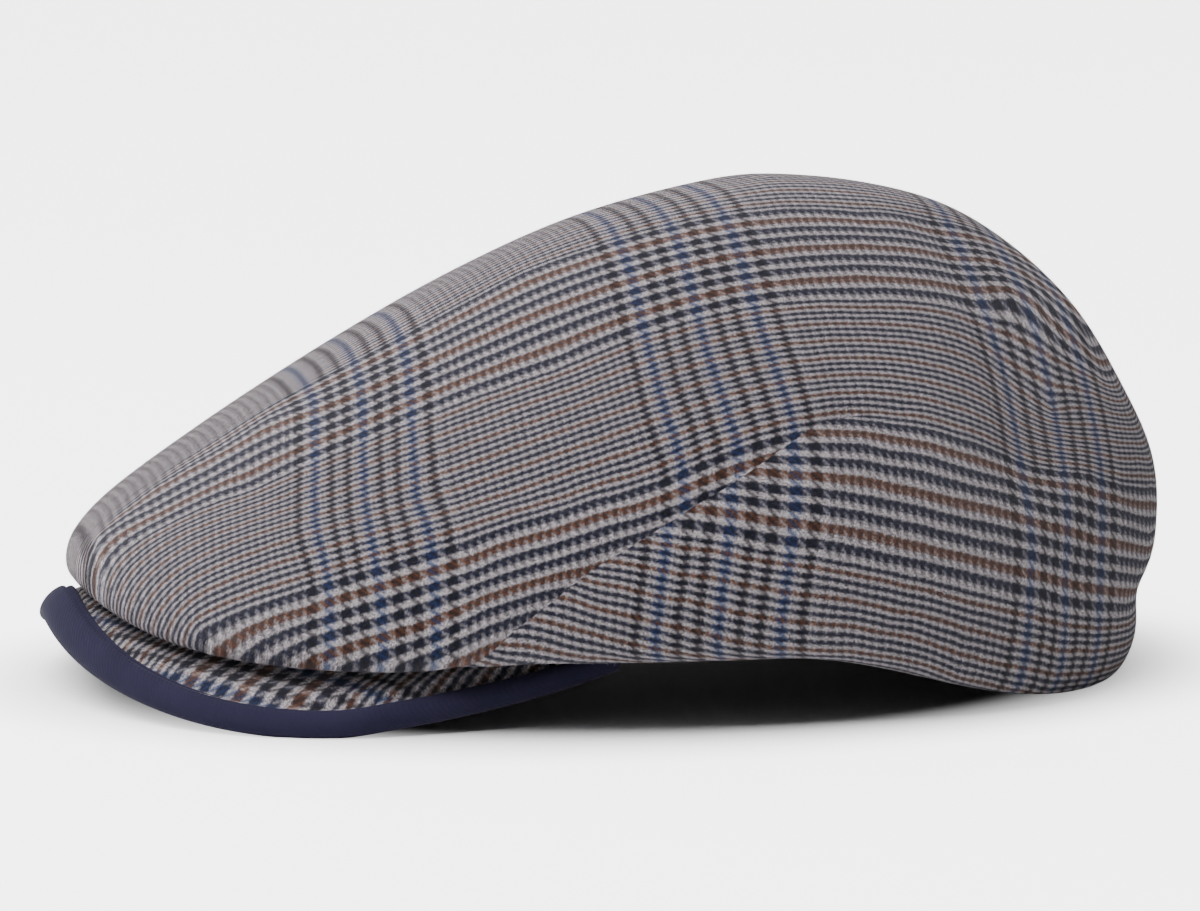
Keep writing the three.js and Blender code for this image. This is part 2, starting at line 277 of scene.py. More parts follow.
# Cotton twill, dyed in the piece: one even navy with a fine diagonal rib and no gloss. The wave
# repeats every 2 pi / (10 scale) metres of x + y + z.
navy, navy_tree = new_material("navy cotton twill")
navy_where = add_node(navy_tree, "TexCoord").outputs["Object"]
navy_cloud = add_node(
    navy_tree, "TexNoise", Vector=navy_where, Scale=1000 / CLOUD_SIZE, Detail=3.0,
)
navy_rib = add_node(
    navy_tree, "TexWave", {"bands_direction": "DIAGONAL"}, Vector=navy_where,
    Scale=2 * math.pi * 1000 / (10 * math.sqrt(3) * RIB_SPACING), Distortion=1.2, Detail=1.0,
)
navy_tone = add_node(
    navy_tree, "Mix", {"data_type": "RGBA"}, Factor=navy_cloud.outputs["Fac"],
    _6=linear("#222035"), _7=linear("#2d2a42"),
)
navy_bump = add_node(
    navy_tree, "Bump", Strength=0.25, Distance=0.0002, Height=navy_rib.outputs["Fac"],
)
surface_from(navy_tree, add_node(
    navy_tree, "BsdfPrincipled", Base_Color=navy_tone.outputs[2], Roughness=0.9,
    Sheen_Weight=0.08, Sheen_Roughness=0.4, Specular_IOR_Level=0.15, Normal=navy_bump.outputs[0],
))


def closed_run(sections):
    """Points and faces of a run of closed sections with a fan to the middle of each end."""
    rows, columns = sections.shape[:2]
    here = np.arange(columns)
    beside = (here + 1) % columns
    first, last, end = rows * columns, rows * columns + 1, (rows - 1) * columns
    faces = grid_faces(rows, columns, wrap=True).tolist()
    faces += np.stack([beside, here, 0 * here + first], -1).tolist()
    faces += np.stack([end + here, end + beside, 0 * here + last], -1).tolist()
    return np.concatenate([sections.reshape(-1, 3), sections[[0, -1]].mean(1)]), faces


# The roll is an oval carried along the peak's edge. It is fuller at the front, the groove is a dent
# of bell shape at one angle of the oval, and what would pass the floor is pressed flat on it.
u = np.linspace(-1, 1, BINDING_STEPS)[:, None]
angle = np.linspace(0, 2 * math.pi, BINDING_SIDES + 1)[None, :-1]
across, out = binding_axes(u)
half_width = (BINDING_WIDTH + FRONT_EXTRA * np.exp(-(u / FRONT_SPREAD) ** 2)) / 2
middle = peak_edge(u) + across * half_width[..., None]
groove = GROOVE_DEPTH * np.exp(-((angle - GROOVE_PLACE) / GROOVE_WIDTH) ** 2)
roll = middle + across * ((half_width - groove) * np.cos(angle))[..., None]
roll = roll + out * ((BINDING_THICKNESS / 2 - groove) * np.sin(angle))[..., None]
roll[..., 2] = np.maximum(roll[..., 2], 0)
points, faces = closed_run(roll)
binding = make_mesh("binding_roll", points, faces, navy)
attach(binding, "root")
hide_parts("peak_binding")


# Peak cover and underside
# Two sheets over the peak's stiff middle: checked wool on top, plain navy cotton below. Each is
# closed round its edges and ends inside the binding.
CLEARANCE, PEAK_COVER, PEAK_UNDERSIDE = 0.3, 1.8, 1.5
SEAM_DEPTH, SEAM_DIP, SEAM_SPREAD = 1.6, 1.5, 2.6
ABOVE = 0.8 * CLEARANCE
UNDERSIDE_STEPS, UNDERSIDE_ROWS = 241, 24
COVER_STEPS, COVER_ROWS = 361, 48
COVER_WEFT_BAND, COVER_WARP_BAND = 72, 230


def peak_sheet(low, high, setback, steps, rows):
    """Outline of the sheet at each step along the peak: bottom from the edge to the rear, then top.

    The sheet dips into its seam with the binding."""
    u = np.linspace(-1, 1, steps)[:, None]
    depth = np.linalg.norm(peak_place(u, 0 * u) - peak_place(u, 0 * u + 1), axis=-1)
    v = blend(setback / depth, 1, np.linspace(0, 1, rows)[None, :])
    middle = peak_place(u + 0 * v, v)
    dip = UP * (SEAM_DIP * np.exp(-(v * depth / SEAM_SPREAD) ** 2))[..., None]
    return np.concatenate([middle + UP * low - dip, (middle + UP * high - dip)[:, ::-1]], 1)


def corner_values(values, faces):
    """Per-vertex values gathered for every corner of every face."""
    return values[[corner for face in faces for corner in face]]


# Checked wool: a 2/2 twill glen check woven thread by thread. The UV map counts threads, warp
# threads along the cap in u and weft threads across it in v. A repeat is 72 threads in bands of
# 4 dark and 4 light, then 84 in hairlines of 2 and 2; every third dark stripe has its own colour.
REPEAT, WIDE = 156, 72
TWILL, BAND_STEP, HAIRLINE_STEP, MARKED_EVERY = 4, 8, 4, 3
WARP_PITCH, WEFT_PITCH = 0.62, 0.587
DARK_SHARE = 0.59
WOOL = {
    "light": "#f6ecf1", "navy": "#191e38", "brown": "#774a35", "black": "#171419", "blue": "#23407c",
    "grey": "#4d4850",
}
# Share of a thread's width that the warp covers where it is on top, and how much of its colour
# shows there and where it is under the weft, because such fine threads run together to the eye
LIGHT_COVER, DARK_COVER = 0.6, 0.85
SEEN_OVER, SEEN_UNDER, EYE_GAMMA = 0.69, 0.14, 2.2
# How far, in threads, the lines of the cloth drift and the hairs at a thread's edge reach
DRIFT_SPAN, DRIFT_REACH, SHAKE_SPAN, SHAKE_REACH = 11.11, 1.2, 0.2, 3.2
# How a thread's roundness paints shade and highlight into the colour (darker where it dips, lighter on
# its crown), and how its yarn's tone, single hairs and the loose nap change it
THREAD_ROUNDING, RELIEF_SHADE, GROUND_SHADE = 3.2, 0.9, 0.3
TONE_ACROSS, TONE_ALONG, TONE_REACH = 0.9, 0.28, 0.9
GRAIN_SPAN, GRAIN_REACH = 0.7692, 1.8
NAP_SPAN, NAP_SWIRL, NAP_START, NAP_FULL, NAP_STRENGTH = 1.3333, 1.5, 0.52, 0.75, 0.1


def calc(tree, operation, first, second=0.0):
    """The output of a Math node."""
    return add_node(tree, "Math", {"operation": operation}, _0=first, _1=second).outputs[0]


def mix(tree, factor, first, second):
    """The output of a node that mixes two colours."""
    return add_node(tree, "Mix", {"data_type": "RGBA"}, _0=factor, _6=first, _7=second).outputs[2]


def stripes(tree, thread, accent, dark, fine_dark=None):
    """Colour at a place counted in threads, and whether it is a light one.

    The place in the repeat is turned to steps of one dark and one light stripe, dark first.
    fine_dark is the dark yarn of the hairlines, where it isn't that of the bands."""
    place = calc(tree, "FLOORED_MODULO", thread, REPEAT)
    fine = calc(tree, "GREATER_THAN", place, WIDE)
    wide_step = calc(tree, "DIVIDE", place, BAND_STEP)
    fine_step = calc(tree, "DIVIDE", calc(tree, "SUBTRACT", place, WIDE), HAIRLINE_STEP)
    gap = calc(tree, "SUBTRACT", fine_step, wide_step)
    step = calc(tree, "ADD", wide_step, calc(tree, "MULTIPLY", fine, gap))
    light = calc(tree, "GREATER_THAN", calc(tree, "FRACT", step), DARK_SHARE)
    turn = calc(tree, "FLOORED_MODULO", calc(tree, "FLOOR", step), MARKED_EVERY)
    marked = calc(tree, "COMPARE", turn, 1)
    stripe = mix(tree, marked, linear(WOOL[dark]), linear(WOOL[accent]))
    if fine_dark:
        stripe = mix(tree, fine, stripe, linear(WOOL[fine_dark]))
    return mix(tree, light, stripe, linear(WOOL["light"])), light


def float_height(tree, across, along, start):
    """Height of a thread lying over two others: round across, and dipping under at its ends."""
    side = calc(tree, "SUBTRACT", calc(tree, "FRACT", across), 0.5)
    fall = calc(tree, "MULTIPLY", calc(tree, "MULTIPLY", side, side), THREAD_ROUNDING)
    run = calc(tree, "FLOORED_MODULO", calc(tree, "SUBTRACT", along, start), TWILL)
    arch = calc(tree, "SINE", calc(tree, "MULTIPLY", run, 2 * math.pi / TWILL))
    return calc(tree, "MULTIPLY", calc(tree, "SUBTRACT", 1, fall), arch)


def cloth_noise(tree, where, span, detail, distortion=0.0):
    """A noise over the threads whose features are about span threads long."""
    return add_node(
        tree, "TexNoise", {"noise_dimensions": "2D"}, Vector=where, Scale=1 / span, Detail=detail,
        Distortion=distortion,
    )


wool, wool_tree = new_material("checked wool twill")
cloth = add_node(wool_tree, "UVMap", {"uv_map": "threads"}).outputs[0]

# The threads drift a little from their lines, and the hairs of the yarn make the edge between two
# colours uneven
drift = cloth_noise(wool_tree, cloth, DRIFT_SPAN, 3.0)
shake = cloth_noise(wool_tree, cloth, SHAKE_SPAN, 1.0)
threads = []
for axis, channel in (("X", "Red"), ("Y", "Green")):
    along = add_node(wool_tree, "SeparateXYZ", Vector=cloth).outputs[axis]
    for noise, reach in ((drift, DRIFT_REACH), (shake, SHAKE_REACH)):
        parts = add_node(wool_tree, "SeparateColor", Color=noise.outputs["Color"])
        offset = calc(wool_tree, "SUBTRACT", parts.outputs[channel], 0.5)
        along = calc(wool_tree, "ADD", along, calc(wool_tree, "MULTIPLY", offset, reach))
    threads.append(along)
warp_at, weft_at = threads
warp, weft = (calc(wool_tree, "FLOOR", at) for at in threads)

# In the twill the warp lies over two weft threads and under the next two, one thread further on
# for each warp thread
beat = calc(wool_tree, "FLOORED_MODULO", calc(wool_tree, "SUBTRACT", weft, warp), TWILL)
warp_colour, warp_light = stripes(wool_tree, warp_at, "blue", "black", "grey")
weft_colour, _ = stripes(wool_tree, weft_at, "brown", "navy")
half_cover = calc(wool_tree, "MULTIPLY", warp_light, (LIGHT_COVER - DARK_COVER) / 2)
half_cover = calc(wool_tree, "ADD", half_cover, DARK_COVER / 2)
off_centre = calc(wool_tree, "SUBTRACT", calc(wool_tree, "FRACT", warp_at), 0.5)
off_centre = calc(wool_tree, "ABSOLUTE", off_centre)
warp_over = calc(
    wool_tree, "MULTIPLY", calc(wool_tree, "LESS_THAN", beat, TWILL / 2 - 0.5),
    calc(wool_tree, "LESS_THAN", off_centre, half_cover),
)
warp_seen = calc(wool_tree, "MULTIPLY", warp_over, SEEN_OVER - SEEN_UNDER)
warp_seen = calc(wool_tree, "ADD", warp_seen, SEEN_UNDER)
even_weft, even_warp = (
    add_node(wool_tree, "Gamma", Color=yarn, Gamma=1 / EYE_GAMMA).outputs[0]
    for yarn in (weft_colour, warp_colour)
)
woven = mix(wool_tree, warp_seen, even_weft, even_warp)
woven = add_node(wool_tree, "Gamma", Color=woven, Gamma=EYE_GAMMA).outputs[0]

warp_height = float_height(wool_tree, warp_at, weft_at, warp)
weft_height = float_height(wool_tree, weft_at, warp_at, calc(wool_tree, "ADD", weft, 1))
height_gap = calc(wool_tree, "SUBTRACT", warp_height, weft_height)
relief = calc(wool_tree, "ADD", weft_height, calc(wool_tree, "MULTIPLY", warp_over, height_gap))
relief = calc(wool_tree, "MAXIMUM", relief, 0)

# Each yarn is spun from several dyed wools, so its tone wanders along it. A grain of single hairs
# and a pale nap of loose ones lie over the threads and soften their edges.
melange = []
for across, along in ((warp_at, weft_at), (weft_at, warp_at)):
    spun = add_node(
        wool_tree, "CombineXYZ", X=calc(wool_tree, "MULTIPLY", across, TONE_ACROSS),
        Y=calc(wool_tree, "MULTIPLY", along, TONE_ALONG),
    )
    melange.append(cloth_noise(wool_tree, spun.outputs[0], 1, 3.0).outputs[0])
warp_tone, weft_tone = melange
tone_gap = calc(wool_tree, "SUBTRACT", warp_tone, weft_tone)
tone = calc(wool_tree, "ADD", weft_tone, calc(wool_tree, "MULTIPLY", warp_over, tone_gap))
grain = cloth_noise(wool_tree, cloth, GRAIN_SPAN, 3.0).outputs[0]
# Painted shade and highlight: the colour is darkened where threads dip under each other and lifted on
# their crowns, beside the bump; the tone and grain added next are the yarn's own
shade = calc(wool_tree, "ADD", calc(wool_tree, "MULTIPLY", relief, RELIEF_SHADE), GROUND_SHADE)
for noise, reach in ((tone, TONE_REACH), (grain, GRAIN_REACH)):
    change = calc(wool_tree, "MULTIPLY", calc(wool_tree, "SUBTRACT", noise, 0.5), reach)
    shade = calc(wool_tree, "ADD", shade, change)
shaded = add_node(wool_tree, "VectorMath", {"operation": "SCALE"}, Vector=woven, Scale=shade)
nap = add_node(
    wool_tree, "MapRange", Value=cloth_noise(wool_tree, cloth, NAP_SPAN, 4.0, NAP_SWIRL).outputs[0],
    From_Min=NAP_START, From_Max=NAP_FULL, To_Min=0.0, To_Max=NAP_STRENGTH,
)
napped = mix(wool_tree, nap.outputs[0], shaded.outputs[0], linear("#a59ea6"))
bump = add_node(wool_tree, "Bump", Strength=0.7, Distance=0.00025, Height=relief)
surface_from(wool_tree, add_node(
    wool_tree, "BsdfPrincipled", Base_Color=napped, Roughness=0.95, Specular_IOR_Level=0.12,
    Sheen_Weight=0.25, Sheen_Roughness=0.4, Sheen_Tint=linear("#d8d4da"), Normal=bump.outputs[0],
))

points, faces = closed_run(
    peak_sheet(-ABOVE - PEAK_UNDERSIDE, -ABOVE, -SEAM_DEPTH, UNDERSIDE_STEPS, UNDERSIDE_ROWS),
)
underside = make_mesh("underside_sheet", points, faces, navy)
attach(underside, "root")
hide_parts("peak_underside")

# The cover is cut on the bias, so both sets of threads cross the cap at 45 degrees
points, faces = closed_run(
    peak_sheet(ABOVE, ABOVE + PEAK_COVER, -SEAM_DEPTH, COVER_STEPS, COVER_ROWS),
)
cover_uv = np.stack([
    (points[:, 1] - points[:, 0]) / math.sqrt(2) / WARP_PITCH + COVER_WARP_BAND,
    (points[:, 1] + points[:, 0]) / math.sqrt(2) / WEFT_PITCH + COVER_WEFT_BAND,
], -1)
cover = make_mesh("cover_sheet", points, faces, wool, corner_values(cover_uv, faces))
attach(cover, "root")
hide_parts("peak_cover")


# Crown
# One piece of checked cloth, shaped by a dart on each side. It comes forward over the peak, rolls
# under at the nose and is stitched down to the cover; the rest of its edge is a turned hem.

# A ring, from the hem to the top, is: its front, middle and back as shares of half the length, its
# half width as a share of half the width, its heights at front, side and back as shares of the
# height, its squareness in front and behind, and how sharply the heights turn there.
RINGS = np.array([
    [-0.803, 0.172, 0.882, 0.882, 0.198, 0.142, 0.0, 2.1, 2.2, 26, 3.6],
    [-0.896, 0.158, 0.932, 0.951, 0.202, 0.142, 0.01, 2.3, 2.2, 26, 3.2],
    [-0.946, 0.143, 0.968, 0.99, 0.218, 0.19, 0.105, 2.2, 2.2, 22, 2.5],
    [-0.939, 0.143, 1.0, 1.0, 0.292, 0.315, 0.28, 2.1, 2.1, 10, 1],
    [-0.853, 0.158, 0.993, 0.961, 0.386, 0.461, 0.43, 2.1, 2.1, 2, 1],
    [-0.688, 0.186, 0.935, 0.873, 0.514, 0.609, 0.58, 2.1, 2.1, 2, 1],
    [-0.487, 0.222, 0.855, 0.735, 0.662, 0.745, 0.73, 2.0, 2.1, 2, 1],
    [-0.28, 0.258, 0.75, 0.569, 0.794, 0.856, 0.85, 2.0, 2.0, 2, 1],
    [-0.072, 0.287, 0.624, 0.392, 0.901, 0.938, 0.938, 2.0, 2.0, 2, 1],
    [0.136, 0.308, 0.473, 0.196, 0.967, 0.988, 0.984, 2.0, 2.0, 2, 1],
    [0.308, 0.308, 0.308, 0.0, 1.0, 1.0, 1.0, 2.0, 2.0, 2, 1],
])
# The dart and the crease are lines of places: a turn as a share of pi, and a share of the rings
DART = np.array([[0.27, 0.07], [0.32, 0.22], [0.37, 0.31], [0.44, 0.395], [0.53, 0.49], [0.6, 0.502]])
BACK_CREASE = np.array([[0.78, 0.76], [0.735, 0.63], [0.725, 0.53], [0.714, 0.42]])
# Places and reaches along the rings and the turn are shares; depths and spreads are millimetres
SEAT_PLACE, SEAT_TUCK, SEAT_LIFT, SEAT_FADE, SEAT_END = 0.35, 0.1, 0.3, 0.75, 0.97
DART_DIP, DART_SPREAD, SEAM_LINE, SEAM_LINE_SPREAD = 0.8, 3, 0.35, 0.8
CREASE_DEPTH, CREASE_SPREAD = 2.2, 10
PINCH_DEPTH, PINCH_RISE, PINCH_SPREAD, PINCH_START, PINCH_FULL = 2.4, 19, 7, 0.78, 0.9
CLOTH, HEM_TURN, HEM_FOLD, HEM_TOP = 2, 1, 0.06, 0.12
FRONT_DIP, DIP_TURN, DIP_REACH = 3.2, math.pi / 6, 0.4
COLUMNS, LOWER_ROWS, UPPER_ROWS, INNER_STEP, HEM_CROWDING = 400, 44, 84, 6, 1.1


def ring_at(s):
    """The ring table read smoothly (Catmull-Rom) at a share of its rows."""
    last = len(RINGS) - 1
    k = np.minimum((s * last).astype(int), last - 1)
    f = (s * last - k)[..., None]
    padded = np.concatenate([[2 * RINGS[0] - RINGS[1]], RINGS, [2 * RINGS[-1] - RINGS[-2]]])
    a, b, c, d = (padded[k + i] for i in range(4))
    return b + 0.5 * f * (c - a + f * (2 * a - 5 * b + 4 * c - d + f * (3 * (b - c) + d - a)))


def seated(turn):
    """How much of the hem at this turn lies on the peak."""
    return 1 - smooth(np.abs(turn) / seat_turn, SEAT_FADE, SEAT_END)


def crown_form(turn, s):
    """Rings that are superellipses round (0, middle), each with its own heights round the turn."""
    turn, s = np.broadcast_arrays(turn, s)
    ring = np.moveaxis(ring_at(s), -1, 0)
    cos, sin = np.cos(turn), np.sin(turn)
    front = cos > 0
    middle = ring[1] * CAP_LENGTH / 2
    reach = np.maximum(np.abs(np.where(front, ring[0], ring[2]) * CAP_LENGTH / 2 - middle), 1e-3)
    half = np.maximum(ring[3] * CAP_WIDTH / 2, 1e-3)
    square = np.where(front, ring[7], ring[8])
    radius = (np.abs(cos / reach) ** square + np.abs(sin / half) ** square) ** (-1 / square)
    share = np.where(
        front,
        blend(ring[5], ring[4], np.abs(cos) ** ring[9]),
        blend(ring[5], ring[6], 1 - (sin * sin) ** ring[10]),
    )
    dip = np.sin(np.minimum(np.abs(turn) / DIP_TURN, 2) * math.pi / 2) ** 2
    dip = FRONT_DIP * dip * np.sin(math.pi * np.minimum(s / DIP_REACH, 1)) ** 2
    return np.stack([radius * sin, middle - radius * cos, share * CAP_HEIGHT - dip], -1)


def crown_seated(turn, s):
    """The crown's form with its front hem brought onto the peak and stitched there."""
    turn, s = np.broadcast_arrays(turn, s)
    place = crown_form(turn, s)
    move = peak_place(turn / seat_turn, 0 * turn + SEAT_PLACE) - crown_form(turn, 0 * s)
    move[..., 2] += ABOVE + PEAK_COVER + CLEARANCE
    tuck = seated(turn) * np.maximum(1 - s / SEAT_TUCK, 0) ** 2
    lift = seated(turn) * np.maximum(1 - s / SEAT_LIFT, 0) ** 2
    return place + np.where((seated(turn) > 0)[..., None], move * np.stack([tuck, tuck, lift], -1), 0)


def crown_normal(turn, s):
    """Outward direction of the crown, from its slopes round the turn and up the rings."""
    step = 1e-3
    low, high = np.maximum(s - step, 0), np.minimum(s + step, 1 - step)
    around = crown_seated(turn + step, s) - crown_seated(turn - step, s)
    along = crown_seated(turn, high) - crown_seated(turn, low)
    return unit(np.cross(around, along))


def path_distance(place, path):
    """Distance from each place to a line through points on the crown."""
    points = crown_seated(path[:, 0] * math.pi, path[:, 1])
    best = np.full(place.shape[:-1], 1e9)
    for a, b in zip(points[:-1], points[1:]):
        share = np.clip(((place - a) @ (b - a)) / ((b - a) @ (b - a)), 0, 1)
        best = np.minimum(best, np.linalg.norm(place - (a + share[..., None] * (b - a)), axis=-1))
    return best


# The grid: columns are turns round the cap, and rows are shares of the way up the rings.
column_turn = np.linspace(0, 2 * math.pi, COLUMNS + 1)[:-1]
column_turn = np.where(column_turn > math.pi, column_turn - 2 * math.pi, column_turn)
dart_share = np.interp(np.abs(column_turn) / math.pi, DART[:, 0], DART[:, 1])
lower = (np.arange(LOWER_ROWS) / LOWER_ROWS)[:, None] ** HEM_CROWDING * dart_share
upper = dart_share + (1 - dart_share) * (np.arange(UPPER_ROWS) / UPPER_ROWS)[:, None]
s = np.concatenate([lower, upper])
turn = np.broadcast_to(column_turn, s.shape)
form = crown_seated(turn, s)
normal = crown_normal(turn, s)
place = np.stack([np.abs(form[..., 0]), form[..., 1], form[..., 2]], -1)
dart_distance = path_distance(place, DART)
fold = DART_DIP * np.exp(-(dart_distance / DART_SPREAD) ** 2)
fold += SEAM_LINE * np.exp(-(dart_distance / SEAM_LINE_SPREAD) ** 2)
fold += CREASE_DEPTH * np.exp(-(path_distance(place, BACK_CREASE) / CREASE_SPREAD) ** 2)
at_back = smooth(np.abs(turn) / math.pi, PINCH_START, PINCH_FULL)
fold += PINCH_DEPTH * at_back * np.exp(-((form[..., 2] - PINCH_RISE) / PINCH_SPREAD) ** 2)
outer = form - normal * (fold * smooth(s, 0, SEAT_TUCK))[..., None]
outer[..., 2] = np.maximum(outer[..., 2], 0)
on_peak = seated(turn)[..., None]
level = unit(np.stack([-outer[..., 0], hem_middle - outer[..., 1], 0 * s], -1))
edge = unit(level * (1 - on_peak) + UP * on_peak)
direction = unit(blend(edge, -normal, smooth(s, 0, HEM_FOLD)[..., None]))
wall = CLOTH + HEM_TURN * (1 - on_peak[..., 0]) * (1 - smooth(s, HEM_FOLD, HEM_TOP))
inner = outer + direction * wall[..., None]

# Where the threads run: stripes of the cloth followed across the picture. Each line is a thread number
# with places on the 1200 x 911 picture that it passes. Weft threads run from nose to back and are
# counted down the side; warp threads cross them and are counted to the back.
# The dart cuts the lines, so those below and behind it are listed apart.
TOP_WEFT = {
    2: [(524, 273), (860, 215)],
    26: [(264, 420), (534, 303), (860, 237)],
    34: [(155, 488), (190, 469), (217, 456), (264, 430), (345, 399), (537, 313), (860, 245)],
    42: [(125, 516), (155, 502), (190, 482), (212, 471), (860, 258),
         (1051, 298), (1076, 318), (1088, 341)],
    50: [(97, 537), (127, 523), (163, 506), (204, 484), (346, 422), (545, 335), (860, 266),
         (1006, 278), (1035, 291), (1051, 313), (1071, 324), (1086, 343), (1104, 354)],
    58: [(240, 478), (289, 454), (346, 429), (860, 277),
         (1018, 293), (1036, 304), (1058, 326), (1080, 344)],
    66: [(219, 493), (253, 484), (289, 465), (345, 443), (554, 362), (860, 291),
         (1011, 298), (1030, 313), (1060, 343), (1080, 356), (1103, 374)],
    73: [(557, 370), (860, 302)],
    95: [(1051, 407), (1113, 407)],
    122: [(1080, 436), (1137, 440)],
    139: [(1084, 452), (1137, 459)],
    153: [(597, 490)],
    158: [(198, 630), (230, 618), (267, 604), (299, 595), (331, 584), (508, 528), (559, 515),
          (607, 501), (664, 483), (1089, 476), (1151, 488)],
    166: [(230, 647), (273, 621), (312, 609), (351, 595), (404, 579), (470, 560), (521, 541),
          (566, 528), (605, 515), (637, 507), (669, 496)],
    174: [(475, 574), (518, 556), (572, 541), (607, 529), (661, 515)],
    182: [(480, 585), (540, 568), (574, 556), (607, 547), (629, 539)],
    190: [(317, 657), (368, 641), (420, 627), (470, 607), (521, 588), (546, 579), (582, 572)],
    198: [(486, 611), (534, 595)],
    206: [(473, 636), (505, 623)],
}
SIDE_WEFT = {
    166: [(860, 433), (930, 445), (993, 465), (1035, 480), (1076, 485), (1109, 496), (1157, 508)],
    174: [(860, 445), (930, 458), (960, 470), (1010, 481), (1043, 493), (1076, 500), (1117, 511)],
    182: [(860, 464), (930, 478), (1018, 500), (1059, 511), (1101, 526), (1149, 538)],
    190: [(860, 479), (930, 495), (960, 503), (1018, 518), (1051, 528), (1093, 539), (1146, 551)],
    198: [(860, 500), (930, 513), (960, 521), (1043, 539), (1093, 554), (1139, 563)],
    206: [(860, 514), (930, 531), (960, 539), (1035, 556), (1076, 568), (1136, 578)],
    214: [(694, 507), (754, 516), (801, 523), (854, 532), (899, 543), (960, 556), (1010, 569),
          (1126, 592)],
    222: [(676, 523), (729, 530), (792, 541), (854, 550), (960, 574), (1043, 593), (1117, 607)],
    233: [(719, 550), (772, 561), (801, 566), (960, 599), (1010, 611), (1043, 619), (1101, 629)],
    245: [(594, 560), (647, 567), (683, 575), (819, 596), (899, 612), (960, 627), (1010, 641),
          (1059, 652)],
    257: [(580, 574), (634, 590), (683, 600), (801, 623), (960, 656), (993, 662), (1043, 672)],
    269: [(572, 596), (629, 615), (683, 629), (845, 652), (899, 659)],
    281: [(526, 617), (566, 630), (598, 635)],
    293: [(502, 643), (534, 647)],
}
TOP_WARP = {
    -154: [(298, 410), (298, 469), (297, 538), (312, 579)],
    -130: [(347, 443), (348, 510), (351, 536)],
    -114: [(378, 443), (382, 503), (388, 538)],
    -98: [(412, 441), (414, 499)],
    -90: [(428, 434), (432, 476), (442, 510), (449, 536)],
    2: [(625, 334), (635, 372), (644, 415), (654, 445), (664, 473)],
    18: [(662, 331), (673, 378), (688, 418), (697, 451)],
    42: [(720, 332), (732, 372), (744, 404)],
    50: [(736, 319), (747, 349), (760, 384), (772, 416)],
    66: [(775, 314), (794, 367), (803, 397)],
}
SIDE_WARP = {
    2: [(647, 525), (642, 569), (636, 607), (631, 655)],
    18: [(677, 610)],
    26: [(711, 496), (706, 541), (698, 610), (696, 639)],
    42: [(739, 610)],
    66: [(815, 446), (817, 500), (811, 543), (801, 610), (795, 659)],
    158: [(1018, 546), (1015, 606), (1010, 644)],
    174: [(1045, 546), (1043, 627), (1038, 662)],
    198: [(1074, 578), (1074, 647)],
}
# Guides down the middle plane: one thread over the top, and the threads that cross the low back
MIDDLE_WEFT = (WIDE + REPEAT) / 2 - REPEAT
MIDDLE_FRONT, MIDDLE_BACK = np.linspace(0.12, 1, 12), np.linspace(0.78, 1, 5)
BACK_WEFT = {0.1: 262, 0.2: 236, 0.3: 198, 0.4: 165}
WEFT_SLACK, WARP_SLACK, STEP_LIMIT = 3, 1.5, 1.5
DART_OPENING = 150
HEM_THREADS, HEM_START, HEM_ROWS, HEM_USE_START, HEM_USE_FULL = 5, 0.19, 8, 0.2, 0.35
FRAME_WIDTH, FRAME_HEIGHT = 1200, 911


def picture_place(points):
    """Pixel of the 1200 x 911 picture where each point, in millimetres, is seen."""
    ahead = unit(np.array(VIEW_AIM) - view_from)
    right = unit(np.cross(ahead, UP))
    ray = points / 1000 - view_from
    scale = LENS / SENSOR * FRAME_WIDTH / (ray @ ahead)
    across, rise = scale * (ray @ right), scale * (ray @ np.cross(right, ahead))
    return np.stack([FRAME_WIDTH / 2 + across, FRAME_HEIGHT / 2 - rise], -1)


def dart_gap(turn):
    """How far the cloth below the dart is parted from the cloth above it: nothing at its tip."""
    share = np.clip((DART[-1, 0] - np.abs(turn) / math.pi) / (DART[-1, 0] - DART[0, 0]), 0, 1)
    return DART_OPENING * share ** 2


half = slice(1, COLUMNS // 2)
seen_points, seen_turn = outer[:, half], turn[:, half]
seen_at = picture_place(seen_points)
facing = ((view_from * 1000 - seen_points) * normal[:, half]).sum(-1) > 0
down, across = np.gradient(seen_at, axis=0), np.gradient(seen_at, axis=1)
point_down, point_across = np.gradient(seen_points, axis=0), np.gradient(seen_points, axis=1)


def cloth_place(pixel, below):
    """Place on the crown seen at a pixel, with the dart's gap as a fourth coordinate."""
    away = ((seen_at - pixel) ** 2).sum(-1) + np.where(facing, 0, 1e9)
    k = np.unravel_index(away.argmin(), away.shape)
    steps = np.linalg.solve(np.stack([down[k], across[k]], -1), np.array(pixel) - seen_at[k])
    steps = np.clip(steps, -STEP_LIMIT, STEP_LIMIT)
    point = seen_points[k] + steps[0] * point_down[k] + steps[1] * point_across[k]
    return np.append(point, dart_gap(seen_turn[k]) if below else 0)


def spread(places, values, at, slack, mirror):
    """Values given at a few places spread over others with the kernel -distance and a linear part.

    slack says how loosely each given value is held, 0 being exactly. Where mirror is set, the
    result is the same on both sides of the middle plane."""
    def kernel(a, b):
        near = np.sqrt(((a[:, None] - b[None]) ** 2).sum(-1))
        if not mirror:
            return -near
        return -(near + np.sqrt(((a[:, None] - b[None] * [-1, 1, 1, 1]) ** 2).sum(-1)))

    def linear_part(a):
        kept = a[:, 1:] if mirror else a
        return np.concatenate([np.ones((len(a), 1)), kept / 100], 1)

    base = linear_part(places)
    count, extra = base.shape
    system = np.zeros((count + extra, count + extra))
    system[:count, :count] = kernel(places, places) + np.diag(slack)
    system[:count, count:] = base
    system[count:, :count] = base.T
    found = np.linalg.solve(system, np.append(values, np.zeros(extra)))
    return kernel(at, places) @ found[:count] + linear_part(at) @ found[count:]


